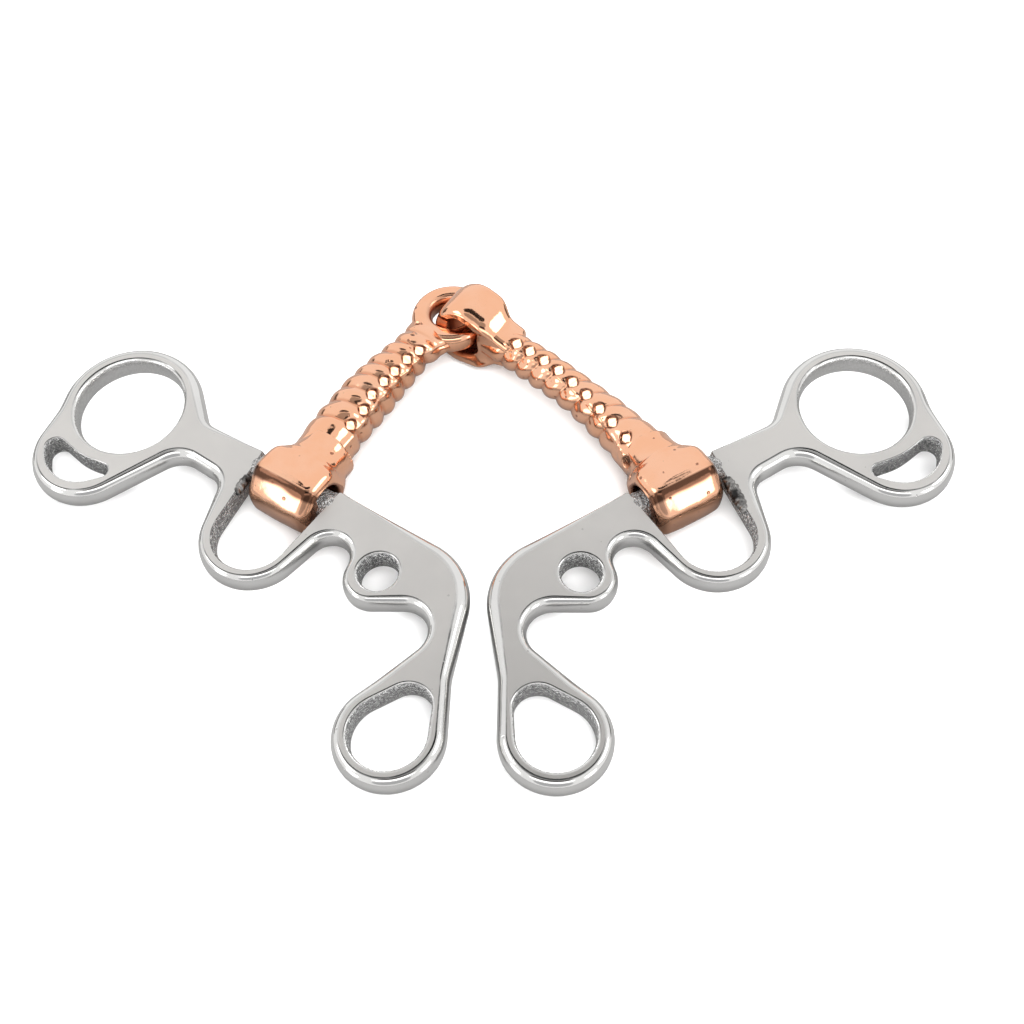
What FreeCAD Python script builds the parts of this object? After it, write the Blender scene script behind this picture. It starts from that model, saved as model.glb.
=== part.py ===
import FreeCAD, Part
import math
import os

# Loose-cheek curb bit lying on a table: two flat shanked cheeks and a jointed copper mouthpiece.
# World frame: X to the right, Y away from the loops, Z up, the floor at Z = 0.
# Lengths in mm, angles in degrees.

V = FreeCAD.Vector

# ---- how the bit lies --------------------------------------------------------------------
POST_SPREAD = 86.2        # between the marks on the two posts
POST_HEIGHT = 7.8         # post axis above the floor: the butts rest on it
POST_BACK = 7.38          # the marks' Y, which brings the middle of the whole bit over the origin
CHEEK_TURN = 31.8         # each post's turn in plan from the X axis
CHEEK_TILT = 5.95         # loops lower than the post, until the rein ring touches the floor

# ---- cheek ------------------------------------------------------------------------------
PLATE = 5.8               # thickness of the flat cheek
EDGE_ROUND = 2.0          # rounding of the outer rim
HOLE_ROUND = 0.5          # rounding of the hole rims
FRONT_EDGE = -3.5         # straight front edge, measured from the post axis
POST_R = 3.3
GAP_SHANK = -11.9         # end wall of the gap for the butt, shank side
GAP_PURCHASE = 7.2        # and purchase side
GAP_MOUTH = -6.0          # the gap's cutter starts outside the front edge
GAP_FLARE = 0.4           # its purchase side leans out by this much there
GAP_CORNER = 0.5
GAP_END_C = (-2.5, 14.8)  # round end of the gap, inside the loop
GAP_END_R = 8.4
POST_REACH = 1.5          # the post runs this far into the plate at either end
RING_C = (42.4, 2.2)      # centre of the purchase ring
RING_R = 16.4
RING_BORE = 12.1
SNAFFLE_C = (-31.5, 8.8)  # small hole for a second rein
SNAFFLE_BORE = 4.1
REIN_C = (-54.4, 37.5)    # wide end of the egg-shaped rein ring
REIN_R = 11.7
LOOP_C = (-2.2, 14.8)     # loop under the butt
LOOP_R = 11.8

# ---- butts, bars and the centre joint -------------------------------------------------------
BUTT_R = 7.8
BUTT_LENGTH = 16.5
BUTT_BORE = 4.7
BUTT_ROUND = 1.6
BUTT_AT = -2.6            # middle of the butt along the post
LEFT_LENGTH = 58.5        # post axis to the middle of the left eye's hole
LEFT_BOW = 2.3            # the bars bow outwards in plan by this much at the middle
RIGHT_BOW = -4.2          # minus is to the right of the way from the butt to the joint
LEFT_RADII = (6.1, 4.8)   # bar over its ribs, next to the collar and at the joint's end
RIGHT_RADII = (5.6, 4.3)
SHOULDER_WIDE = 7.6       # half width of the shoulder where it leaves the butt
SHOULDER_HIGH = 7.2
COLLAR_AT = 12.0          # the shoulder ends and the collar starts
COLLAR_END = 17.0
RIB_PITCH = 4.75
RIB_HEIGHT = 0.7
EYE_R = 9.0
EYE_BORE = 4.6
EYE_THICK = 5.6
EYE_ROUND = 1.8
EYE_BORE_ROUND = 0.6
NECK_AT = 11.5            # the ribs end this far from the eye's centre
NECK_IN = 7.2             # and the neck ends here, inside the ring
NECK_R = 2.7
LOOP_TIP_HALF = 1.9       # half thickness of the link's tip bar, which stands in the eye
LINK_HALF_WIDTH = 4.0
LINK_ROUND = 1.1
LINK_HOLE_END = 9.7       # far end of the link's hole from the tip bar's middle
LINK_HOLE_HALF = 3.4      # half height of the link's hole
LINK_HOLE_SOFT = 1.8      # radius of that hole's corners
LINK_HALF_HEIGHT = 6.8
LINK_SHOULDER_R = 5.0     # rounding of the link's upper and lower shoulders
LINK_NECK = 14.0          # the link runs into the bar this far from the tip bar's middle
LINK_NECK_R = 1.5

# ---- weld beads ------------------------------------------------------------------------------
BEAD_R = 1.35
BEAD_SHRINK = 0.05        # each lump is this much smaller than the one before
BEAD_AT = 7.3             # centre line of the bead along the post
BEAD_FIRST = 3.9          # first lump of the bead, from the post axis
BEAD_STEP = 1.3
BEAD_LUMPS = 5
BEAD_RISE = 1.9           # the bead sits over the upper rim of the wall


def chain(circles, signs):
    """Closed wire around a chain of circles: arcs joined by their common tangents.
    A sign of 1 keeps the circle inside the outline, -1 bends the outline around its far side."""
    count = len(circles)
    turn = []
    for i in range(count):
        j = (i + 1) % count
        du = circles[j][0] - circles[i][0]
        dv = circles[j][1] - circles[i][1]
        reach = math.hypot(du, dv)
        lean = math.asin((signs[j] * circles[j][2] - signs[i] * circles[i][2]) / reach)
        turn.append(math.atan2(dv, du) - lean)

    def rim(i, a):
        u, v, r = circles[i]
        return V(u + signs[i] * r * math.sin(a), v - signs[i] * r * math.cos(a), 0)

    edges = []
    for i in range(count):
        first = turn[i - 1]
        swing = (signs[i] * (turn[i] - first)) % (2 * math.pi)
        middle = first + signs[i] * swing / 2
        edges.append(Part.Arc(rim(i, first), rim(i, middle), rim(i, turn[i])).toShape())
        j = (i + 1) % count
        edges.append(Part.makeLine(rim(i, turn[i]), rim(j, turn[i])))
    return Part.Wire(edges)


def slab(wire, thick):
    """A wire filled and thickened evenly about its own plane."""
    face = Part.Face(wire)
    face.translate(V(0, 0, -thick / 2))
    return face.extrude(V(0, 0, thick))


def peg(centre, radius, length):
    """A cylinder along Z, even about Z = 0."""
    return Part.makeCylinder(radius, length, V(centre[0], centre[1], -length / 2))


def flat_edges(shape, level):
    """Edges which lie wholly at +level or -level."""
    found = []
    for edge in shape.Edges:
        box = edge.BoundBox
        if box.ZLength < 1e-4 and abs(abs(box.ZMin) - level) < 1e-4:
            found.append(edge)
    return found


def cheek_outline():
    """Outer outline: u along the post to the purchase ring, v from the post to the loops."""
    front_fillet = 4.8
    bend = 15.5
    circles = [
        (22.4, FRONT_EDGE - front_fillet, front_fillet),   # front edge into the ring
        (RING_C[0], RING_C[1], RING_R),                    # purchase ring
        (71.3, 13.9, 14.7),                                # hollow between ring and lobe
        (43.8, 16.4, 12.3),                                # lobe with the chain slot
        (21.2, 12.5, 5.9),                                 # bay next to the loop
        (15.9, 11.3, 4.4),
        (LOOP_C[0], LOOP_C[1], LOOP_R),                    # loop under the butt
        (-19.7, 10.9, 4.5),                                # notch
        (-30.8, 10.1, 6.5),                                # boss of the small hole
        (-42.8, 17.4, 5.8),                                # large bay
        (-30.4, 24.0, 15.5),
        (REIN_C[0], REIN_C[1], REIN_R),                    # rein ring
        (-70.9, 14.3, 14.4),                               # neck of the rein ring
        (-37.9, FRONT_EDGE + bend, bend),                  # bend of the shank
    ]
    signs = [-1, 1, -1, 1, -1, -1, 1, -1, 1, -1, -1, 1, -1, 1]
    return chain(circles, signs)


def slot_wire():
    """Bean-shaped slot for the curb chain, following the purchase ring."""
    circles = [(49.9, 19.2, 2.2), (44.0, 16.0, 8.8), (36.9, 18.9, 1.6), (43.0, 2.5, 15.5)]
    return chain(circles, [1, 1, 1, -1])


def rein_wire():
    """Egg-shaped hole of the rein ring."""
    return chain([(-54.6, 31.0, 4.9), (REIN_C[0], REIN_C[1], 8.0)], [1, 1])


def gap_wire():
    """Hole of the loop, run out through the front edge to let the butt in."""
    circles = [
        (GAP_PURCHASE + GAP_FLARE, GAP_MOUTH, GAP_CORNER),
        (GAP_END_C[0], GAP_END_C[1], GAP_END_R),
        (GAP_SHANK, GAP_MOUTH, GAP_CORNER),
    ]
    return chain(circles, [1, 1, 1])


def cheek():
    """One cheek in its own frame: a flat casting with the post across the butt's gap."""
    body = slab(cheek_outline(), PLATE)
    body = body.makeFillet(EDGE_ROUND, flat_edges(body, PLATE / 2))
    deep = 2 * PLATE
    holes = [slab(slot_wire(), deep), slab(rein_wire(), deep)]
    holes.append(peg(RING_C, RING_BORE, deep))
    holes.append(peg(SNAFFLE_C, SNAFFLE_BORE, deep))
    outer = [e.CenterOfMass for e in flat_edges(body, PLATE / 2)]
    for cutter in holes:
        body = body.cut(cutter)
    inner = []
    for edge in flat_edges(body, PLATE / 2):
        if min((edge.CenterOfMass - c).Length for c in outer) > 0.01:
            inner.append(edge)
    body = body.makeFillet(HOLE_ROUND, inner)
    body = body.cut(slab(gap_wire(), deep))
    length = GAP_PURCHASE - GAP_SHANK + 2 * POST_REACH
    post = Part.makeCylinder(POST_R, length, V(GAP_SHANK - POST_REACH, 0, 0), V(1, 0, 0))
    return body.fuse(post).removeSplitter()


def bead(owner):
    """Lumpy weld in the purchase corner of the gap, cut to lie on the cheek."""
    lumps = []
    for i in range(BEAD_LUMPS):
        size = BEAD_R - BEAD_SHRINK * i
        middle = V(BEAD_AT, BEAD_FIRST + BEAD_STEP * i, BEAD_RISE)
        lumps.append(Part.makeSphere(size, middle))
    whole = lumps[0].multiFuse(lumps[1:]).cut(owner)
    return max(whole.Solids, key=lambda solid: solid.Volume)


def lay_left(shape):
    """Left cheek frame to the world: tilt about the post, turn in plan, lift to the post."""
    out = shape.copy()
    out.rotate(V(0, 0, 0), V(1, 0, 0), -CHEEK_TILT)
    out.rotate(V(0, 0, 0), V(0, 0, 1), 180 - CHEEK_TURN)
    out.translate(V(-POST_SPREAD / 2, POST_BACK, POST_HEIGHT))
    return out


def flip(shape):
    """Mirror image across the YZ plane."""
    return shape.mirror(V(0, 0, 0), V(1, 0, 0))


def butt(outer_only):
    """Barrel of the butt along Y about the origin, solid or only its bore."""
    if outer_only:
        barrel = Part.makeCylinder(BUTT_R, BUTT_LENGTH, V(0, -BUTT_LENGTH / 2, 0), V(0, 1, 0))
        return barrel.makeFillet(BUTT_ROUND, [e for e in barrel.Edges if e.Closed])
    return Part.makeCylinder(BUTT_BORE, 2 * BUTT_LENGTH, V(0, -BUTT_LENGTH, 0), V(0, 1, 0))


def centre_line(at, length, bow):
    """Point and heading of the bowed centre line: a parabola from the post axis to the joint."""
    share = at / length
    y = 4 * bow * share * (1 - share)
    heading = math.degrees(math.atan(4 * bow / length * (1 - 2 * share)))
    return V(at, y, 0), heading


def ring(at, wide, high, length, bow):
    """Closed ring set square to the centre line, wide across and high upwards."""
    point, heading = centre_line(at, length, bow)
    if abs(wide - high) < 1e-6:
        curve = Part.Circle(V(0, 0, 0), V(0, 0, 1), wide).toShape()
    else:
        curve = Part.Ellipse(V(0, 0, 0), wide, high).toShape()
    curve.rotate(V(0, 0, 0), V(1, 0, 0), 90)
    curve.rotate(V(0, 0, 0), V(0, 0, 1), 90 + heading)
    curve.translate(point)
    return Part.Wire([curve])


def shoulder(radii, length, bow):
    """Swell from the butt into the round collar."""
    stations = [
        (2.0, SHOULDER_WIDE, SHOULDER_HIGH),
        (BUTT_R - 1.3, SHOULDER_WIDE - 0.2, SHOULDER_HIGH - 0.2),
        (COLLAR_AT, radii[0] + 0.3, radii[0] + 0.2),
    ]
    return Part.makeLoft([ring(at, w, h, length, bow) for at, w, h in stations], True, False)


def bar(radii, end, length, bow):
    """Collar and ribbed bar: straight-sided loft over the crests and roots of the ribs."""
    count = int((end - COLLAR_END) / RIB_PITCH)
    pitch = (end - COLLAR_END) / count
    collar = radii[0]
    rings = [ring(COLLAR_AT - 2, collar, collar, length, bow)]
    rings.append(ring(COLLAR_END - 1, collar, collar, length, bow))
    for i in range(count):
        share = (i + 0.5) / count
        crest = radii[0] + (radii[1] - radii[0]) * share
        root = crest - RIB_HEIGHT
        at = COLLAR_END + i * pitch
        rings.append(ring(at, root, root, length, bow))
        rings.append(ring(at + 0.3 * pitch, crest, crest, length, bow))
        rings.append(ring(at + 0.7 * pitch, crest, crest, length, bow))
    rings.append(ring(end, radii[1] - RIB_HEIGHT, radii[1] - RIB_HEIGHT, length, bow))
    return Part.makeLoft(rings, True, True)


def left_cannon():
    """Butt, bar and round eye; chord of the bar along X from the post axis."""
    length, bow, radii = LEFT_LENGTH, LEFT_BOW, LEFT_RADII
    bar_end = length - NECK_AT
    small = radii[1] - RIB_HEIGHT
    neck_rings = [
        ring(bar_end - 0.5, small, small, length, bow),
        ring(length - NECK_IN, NECK_R, NECK_R, length, bow),
    ]
    neck = Part.makeLoft(neck_rings, True, True)
    eye = peg((length, 0), EYE_R, EYE_THICK)
    eye = eye.makeFillet(EYE_ROUND, [e for e in eye.Edges if e.Closed])
    parts = [shoulder(radii, length, bow), bar(radii, bar_end, length, bow), neck, eye]
    whole = butt(True).multiFuse(parts)
    whole = whole.cut(butt(False))
    whole = whole.cut(peg((length, 0), EYE_BORE, 3 * EYE_THICK))
    rims = [e for e in flat_edges(whole, EYE_THICK / 2) if abs(e.CenterOfMass.x - length) < 0.5]
    return whole.makeFillet(EYE_BORE_ROUND, rims).removeSplitter()


def link(length, heading, root):
    """Upright band link at the end of the right bar, standing in the left eye."""
    tip = LINK_SHOULDER_R
    neck = LINK_NECK_R
    middle = tip - LOOP_TIP_HALF
    level = LINK_HALF_HEIGHT - tip
    outer = chain([
        (middle, -level, tip),
        (LINK_NECK, neck - root, neck),
        (LINK_NECK, root - neck, neck),
        (middle, level, tip),
    ], [1, 1, 1, 1])
    soft = LINK_HOLE_SOFT
    near = LOOP_TIP_HALF + soft
    far = LINK_HOLE_END - soft
    rise = LINK_HOLE_HALF - soft
    corners = [(near, -rise, soft), (far, -rise, soft), (far, rise, soft), (near, rise, soft)]
    inner = chain(corners, [1, 1, 1, 1])
    block = slab(outer, 2 * LINK_HALF_WIDTH).cut(slab(inner, 4 * LINK_HALF_WIDTH))
    block = block.makeFillet(LINK_ROUND, flat_edges(block, LINK_HALF_WIDTH))
    block.rotate(V(0, 0, 0), V(1, 0, 0), 90)
    block.rotate(V(0, 0, 0), V(0, 0, 1), 180 + heading)
    block.translate(V(length, 0, 0))
    return block


def right_cannon(length, lean):
    """Butt, bar and upright link; chord of the bar along X, the butt turned by lean."""
    bow, radii = RIGHT_BOW, RIGHT_RADII
    end_heading = centre_line(length, length, bow)[1]
    barrel = butt(True)
    barrel.rotate(V(0, 0, 0), V(0, 0, 1), lean)
    bore = butt(False)
    bore.rotate(V(0, 0, 0), V(0, 0, 1), lean)
    bar_end = length - LINK_NECK + 1.0
    parts = [shoulder(radii, length, bow), bar(radii, bar_end, length, bow)]
    parts.append(link(length, end_heading, radii[1]))
    return barrel.multiFuse(parts).cut(bore).removeSplitter()


def lay_bar(shape, start, heading):
    """Bar frame to the world: turn in plan and move the post axis to its place."""
    out = shape.copy()
    out.rotate(V(0, 0, 0), V(0, 0, 1), heading)
    out.translate(start)
    return out


def main():
    os.makedirs("parts", exist_ok=True)
    turn = math.radians(CHEEK_TURN)
    half = POST_SPREAD / 2
    left_start = V(-half - BUTT_AT * math.cos(turn), POST_BACK + BUTT_AT * math.sin(turn), POST_HEIGHT)
    right_start = V(-left_start.x, left_start.y, POST_HEIGHT)
    left_heading = 90 - CHEEK_TURN
    along = V(math.cos(math.radians(left_heading)), math.sin(math.radians(left_heading)), 0)
    joint = left_start + along * LEFT_LENGTH
    across = joint - right_start
    right_heading = math.degrees(math.atan2(across.y, across.x))
    lean = (90 + CHEEK_TURN) - right_heading

    plate = cheek()
    seam = bead(plate)
    nodes = {
        "left_cheek": lay_left(plate),
        "left_weld_bead": lay_left(seam),
        "right_cheek": flip(lay_left(plate)),
        "right_weld_bead": flip(lay_left(seam)),
        "left_cannon": lay_bar(left_cannon(), left_start, left_heading),
        "right_cannon": lay_bar(right_cannon(across.Length, lean), right_start, right_heading),
    }
    for name, shape in nodes.items():
        shape.exportStep("parts/" + name + ".step")
        box = shape.optimalBoundingBox(False)
        size = (round(box.XMin, 2), round(box.XMax, 2), round(box.YMin, 2), round(box.YMax, 2))
        print(name, shape.isValid(), len(shape.Solids), round(shape.Volume, 1), size,
              round(box.ZMin, 2), round(box.ZMax, 2))
    print("joint", joint, "right heading", right_heading, "lean", lean, "length", across.Length)


main()
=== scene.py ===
import math

import bpy
import numpy as np
from mathutils import Matrix, Vector
from mathutils.geometry import delaunay_2d_cdt


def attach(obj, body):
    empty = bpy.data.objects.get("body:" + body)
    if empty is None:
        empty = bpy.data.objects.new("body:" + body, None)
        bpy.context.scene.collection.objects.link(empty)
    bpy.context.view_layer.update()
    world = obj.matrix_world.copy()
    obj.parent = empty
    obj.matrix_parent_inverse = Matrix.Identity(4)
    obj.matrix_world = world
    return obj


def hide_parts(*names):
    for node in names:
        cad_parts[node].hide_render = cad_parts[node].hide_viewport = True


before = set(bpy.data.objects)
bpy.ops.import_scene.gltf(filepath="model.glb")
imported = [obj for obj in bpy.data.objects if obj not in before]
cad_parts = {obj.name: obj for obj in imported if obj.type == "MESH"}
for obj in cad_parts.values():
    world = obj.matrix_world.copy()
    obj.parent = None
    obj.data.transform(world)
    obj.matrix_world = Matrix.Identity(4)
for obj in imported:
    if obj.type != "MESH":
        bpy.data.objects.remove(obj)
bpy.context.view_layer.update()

# All shapes below are worked out in millimetres and put into the mesh in metres.
MM = 0.001

# ---- how the bit lies --------------------------------------------------------------------
POST_SPREAD = 86.2
POST_HEIGHT = 7.8
POST_BACK = 7.38
CHEEK_TURN = 31.8
CHEEK_TILT = 5.95
BUTT_AT = -2.6
LEFT_LENGTH = 58.5


# ---- arithmetic on whole arrays ------------------------------------------------------------
def smooth(low, high, value):
    """0 below low, 1 above high, and 3t^2 - 2t^3 between them."""
    t = np.clip((value - low) / (high - low), 0.0, 1.0)
    return t * t * (3.0 - 2.0 * t)


def soft_min(a, b, blend):
    """The smaller of a and b, with the corner between them rounded over blend."""
    h = np.clip(0.5 + 0.5 * (b - a) / blend, 0.0, 1.0)
    return b + (a - b) * h - blend * h * (1.0 - h)


def waves(points, scale, seed, count=9):
    """Soft random field from -1 to 1: the mean of sines along random directions,
    of wavelength about scale."""
    rng = np.random.default_rng(seed)
    way = rng.normal(size=(count, 3))
    way /= np.linalg.norm(way, axis=1)[:, None]
    number = 2.0 * np.pi / (scale * rng.uniform(0.7, 1.5, count))
    start = rng.uniform(0.0, 2.0 * np.pi, count)
    return np.sin(points @ (way * number[:, None]).T + start).mean(axis=-1) * 1.6


def turn_z(degrees):
    """Rotation about Z as a 3 x 3 array."""
    c, s = math.cos(math.radians(degrees)), math.sin(math.radians(degrees))
    return np.array([[c, -s, 0.0], [s, c, 0.0], [0.0, 0.0, 1.0]])


def turn_x(degrees):
    """Rotation about X as a 3 x 3 array."""
    c, s = math.cos(math.radians(degrees)), math.sin(math.radians(degrees))
    return np.array([[1.0, 0.0, 0.0], [0.0, c, -s], [0.0, s, c]])


# ---- shells: points, faces and masks ---------------------------------------------------------
def grid_faces(rows, cols, wrap_rows=False):
    """Quads of a rows x cols grid whose columns close on themselves; its rows may too."""
    last = rows if wrap_rows else rows - 1
    r, c = np.meshgrid(np.arange(last), np.arange(cols), indexing="ij")
    r2, c2 = (r + 1) % rows, (c + 1) % cols
    return np.stack([r * cols + c, r * cols + c2, r2 * cols + c2, r2 * cols + c], -1).reshape(-1, 4)


def cap_faces(first, cols, pole):
    """Triangles from a ring of cols points, numbered from first, to the pole point."""
    c = np.arange(cols)
    return np.stack([first + c, first + (c + 1) % cols, np.full(cols, pole)], -1)


def volume(points, faces):
    """Signed volume of a closed shell: the sum over its triangles of a . (b x c) / 6."""
    total = 0.0
    for block in faces:
        for k in range(1, block.shape[1] - 1):
            a, b, c = points[block[:, 0]], points[block[:, k]], points[block[:, k + 1]]
            total += float((a * np.cross(b, c)).sum()) / 6.0
    return total


class Shell:
    """A closed surface: points (n, 3), blocks of faces and masks of one number per point."""

    def __init__(self, points, faces, masks=None):
        self.points = np.asarray(points, float)
        self.faces = list(faces)
        self.masks = dict(masks or {})
        if volume(self.points, self.faces) < 0.0:
            self.faces = [block[:, ::-1] for block in self.faces]

    def placed(self, matrix, offset):
        """The shell with every point p moved to matrix p + offset."""
        return Shell(self.points @ matrix.T + offset, self.faces, self.masks)


def tube(points, masks=None):
    """Shell from rings (rows, cols, 3), its two ends closed by a fan to the ring's mean point."""
    rows, cols, _ = points.shape
    flat = points.reshape(-1, 3)
    poles = np.array([points[0].mean(0), points[-1].mean(0)])
    faces = [
        grid_faces(rows, cols),
        cap_faces(0, cols, rows * cols)[:, ::-1],
        cap_faces((rows - 1) * cols, cols, rows * cols + 1),
    ]
    full = {}
    for name, values in (masks or {}).items():
        full[name] = np.concatenate([values.ravel(), np.zeros(2)])
    return Shell(np.vstack([flat, poles]), faces, full)


def hoop(points, masks=None):
    """Shell from a grid (rows, cols, 3) which closes on itself both ways."""
    rows, cols, _ = points.shape
    flat = {name: values.ravel() for name, values in (masks or {}).items()}
    return Shell(points.reshape(-1, 3), [grid_faces(rows, cols, True)], flat)


def make_piece(name, shells, sharp=45.0):
    """One object from several shells, at the origin, with its place in its mesh."""
    names = sorted({key for shell in shells for key in shell.masks})
    points, blocks, start = [], [], 0
    masks = {key: [] for key in names}
    for shell in shells:
        points.append(shell.points)
        blocks += [block + start for block in shell.faces]
        for key in names:
            masks[key].append(shell.masks.get(key, np.zeros(len(shell.points))))
        start += len(shell.points)
    corners = np.concatenate([block.ravel() for block in blocks])
    sizes = np.concatenate([np.full(len(block), block.shape[1]) for block in blocks])
    mesh = bpy.data.meshes.new(name)
    mesh.vertices.add(start)
    mesh.vertices.foreach_set("co", (np.vstack(points) * MM).ravel())
    mesh.loops.add(len(corners))
    mesh.loops.foreach_set("vertex_index", corners.astype(np.int32))
    mesh.polygons.add(len(sizes))
    mesh.polygons.foreach_set("loop_start", (np.cumsum(sizes) - sizes).astype(np.int32))
    mesh.polygons.foreach_set("loop_total", sizes.astype(np.int32))
    mesh.polygons.foreach_set("use_smooth", np.ones(len(sizes), bool))
    mesh.update(calc_edges=True)
    mesh.validate()
    for key in names:
        layer = mesh.attributes.new(key, "FLOAT", "POINT")
        layer.data.foreach_set("value", np.concatenate(masks[key]).astype(np.float32))
    mesh.set_sharp_from_angle(angle=math.radians(sharp))
    piece = bpy.data.objects.new(name, mesh)
    bpy.context.scene.collection.objects.link(piece)
    return piece


# ---- flat castings: an outline, its holes and a rim profile carried round each ------------------
def chain(circles, step=0.5):
    """Outline round a chain of circles (u, v, radius, sign, inset), joined by common tangents.
    Sign 1 keeps a circle inside the outline and -1 bends the outline round its far side.
    Gives the points, the outward directions and each point's inset."""
    points, normals, insets = [], [], []
    count = len(circles)
    turns = []
    for i in range(count):
        a, b = circles[i], circles[(i + 1) % count]
        du, dv = b[0] - a[0], b[1] - a[1]
        lean = math.asin((b[3] * b[2] - a[3] * a[2]) / math.hypot(du, dv))
        turns.append(math.atan2(dv, du) - lean)
    for i in range(count):
        u, v, r, sign, inset = circles[i]
        swing = (sign * (turns[i] - turns[i - 1])) % (2.0 * math.pi)
        parts = max(3, int(math.ceil(max(swing * r / step, swing / 0.09))))
        angle = turns[i - 1] + sign * np.linspace(0.0, swing, parts + 1)
        normal = np.stack([np.sin(angle), -np.cos(angle)], -1)
        points.append(np.array([u, v]) + sign * r * normal)
        normals.append(normal)
        insets.append(np.full(parts + 1, inset))
        j = (i + 1) % count
        end = np.array([math.sin(turns[i]), -math.cos(turns[i])])
        start = points[-1][-1]
        goal = np.array(circles[j][:2]) + circles[j][3] * circles[j][2] * end
        straight = max(2, int(np.linalg.norm(goal - start) / (2.0 * step)) + 1)
        share = np.linspace(0.0, 1.0, straight + 1)[1:-1]
        points.append(start + (goal - start) * share[:, None])
        normals.append(np.repeat(end[None], len(share), 0))
        insets.append(inset + (circles[j][4] - inset) * share)
    return np.vstack(points), np.vstack(normals), np.concatenate(insets)


def rim(loop, thick, drop, ring, parts, side):
    """Rim carried round a loop: a flat ring, a quarter ellipse down, the wall, and the same below.
    side 1 is an outer outline, with material inside it; -1 is a hole."""
    points, normals, insets = loop
    angle = math.pi / 2.0 * np.linspace(0.0, 1.0, parts) ** 1.6
    inward = np.concatenate([[1.0], 1.0 - np.sin(angle)])
    flat = np.concatenate([[ring], np.zeros(parts)])
    level = np.concatenate([[0.0], 1.0 - np.cos(angle)])
    inward = np.concatenate([inward, inward[::-1]])
    flat = np.concatenate([flat, flat[::-1]])
    height = np.concatenate([thick / 2.0 - drop * level, drop * level[::-1] - thick / 2.0])
    depth = insets[None, :] * inward[:, None] + flat[:, None]
    place = points[None] - side * normals[None] * depth[..., None]
    level = np.repeat(height[:, None], len(points), 1)
    return np.concatenate([place, level[..., None]], -1)


FLAT_RING = 0.12
# Way the rims face where the painted dark reflection line over the flats' edges is strongest, and its
# least share elsewhere
DARK_LINE_WAY = np.array([-0.53, 0.85])
DARK_LINE_LEAST = 0.25


def plate(outline, holes, thick, drop, gap=None):
    """Closed flat casting: its rims, and its two flat faces filled between them.
    Each hole is its loop, its rim's drop and how rough its wall is.
    Masks: face is 1 on the flats and wall is 1 on rough hole walls and in the gap. The third mask is
    a painted dark reflection line just over the edge of the flats: 1 where the rim faces the way set
    above, down to the least share set above."""
    grids = [rim(outline, thick, drop, FLAT_RING, 11, 1)]
    grids += [rim(hole, thick, hole_drop, FLAT_RING, 8, -1) for hole, hole_drop, _ in holes]
    facing = [smooth(0.0, 0.7, outline[1] @ DARK_LINE_WAY)]
    facing += [smooth(0.0, 0.7, -hole[1] @ DARK_LINE_WAY) for hole, _, _ in holes]
    points, faces, face_mask, wall_mask, dark_line_mask, loops = [], [], [], [], [], []
    start = 0
    for number, grid in enumerate(grids):
        rows, cols, _ = grid.shape
        points.append(grid.reshape(-1, 3))
        faces.append(grid_faces(rows, cols) + start)
        on_face = np.zeros((rows, cols))
        on_face[[0, 1, -2, -1]] = 1.0
        on_wall = np.zeros((rows, cols))
        if number:
            on_wall[5:-5] = holes[number - 1][2]
        elif gap is not None:
            on_wall[2:-2] = gap[None, :]
        # Painted dark reflection line on the rim rows just over the flats
        on_dark_line = np.zeros((rows, cols))
        on_dark_line[[2, 3, -4, -3]] = DARK_LINE_LEAST + (1.0 - DARK_LINE_LEAST) * facing[number][None, :]
        dark_line_mask.append(on_dark_line.ravel())
        face_mask.append(on_face.ravel())
        wall_mask.append(on_wall.ravel())
        loops.append((start, start + (rows - 1) * cols, cols))
        start += rows * cols
    points = np.vstack(points)
    order = np.concatenate([np.arange(first, first + cols) for first, _, cols in loops])
    below = np.concatenate([np.arange(low, low + cols) for _, low, cols in loops])
    rings, done = [], 0
    for _, _, cols in loops:
        rings.append(list(range(done, done + cols)))
        done += cols
    flat = [Vector(p) for p in points[order][:, :2].tolist()]
    found = delaunay_2d_cdt(flat, [], rings, 2, 1e-5)
    if len(found[0]) != len(flat):
        extra = [tuple(round(c, 2) for c in v) for v in found[0][len(flat):]]
        raise ValueError(f"rims cross at {extra[:12]}")
    triangles = np.array(found[2])
    faces = [block[:, ::-1] for block in faces]
    faces.append(order[triangles])
    faces.append(below[triangles][:, ::-1])
    # the loops run with the flats inside them, so rims and flats are turned alike
    top = faces[-2]
    a, b, c = points[top[:, 0]], points[top[:, 1]], points[top[:, 2]]
    if float(np.cross(b - a, c - a)[:, 2].sum()) < 0.0:
        faces[-2], faces[-1] = faces[-2][:, ::-1], faces[-1][:, ::-1]
    for number in range(len(grids)):
        block = faces[number]
        a, b, c = points[block[0, :3]]
        if np.cross(b - a, c - b)[2] < 0.0:
            faces[number] = block[:, ::-1]
    masks = {"face": face_mask, "wall": wall_mask, "crease": dark_line_mask}
    return Shell(points, faces, {name: np.concatenate(rows) for name, rows in masks.items()})


# ---- the cheek -----------------------------------------------------------------------------
PLATE = 5.8
RING_C, RING_R, RING_BORE = (42.4, 2.2), 16.4, 12.1
SNAFFLE_C, SNAFFLE_BORE = (-31.5, 8.8), 4.1
POST_R = 3.3
# (place along its axis, radius): the post, swelling where it meets the casting
POST_PROFILE = [
    (-15.2, 1.6), (-14.4, 2.4), (-13.4, 2.75), (-12.6, 3.2), (-12.0, 3.5), (-11.0, 3.36),
    (-9.0, POST_R), (3.0, POST_R), (5.5, 3.32), (7.2, 3.5), (7.9, 3.2), (8.8, 2.75), (9.6, 1.6),
]


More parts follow.
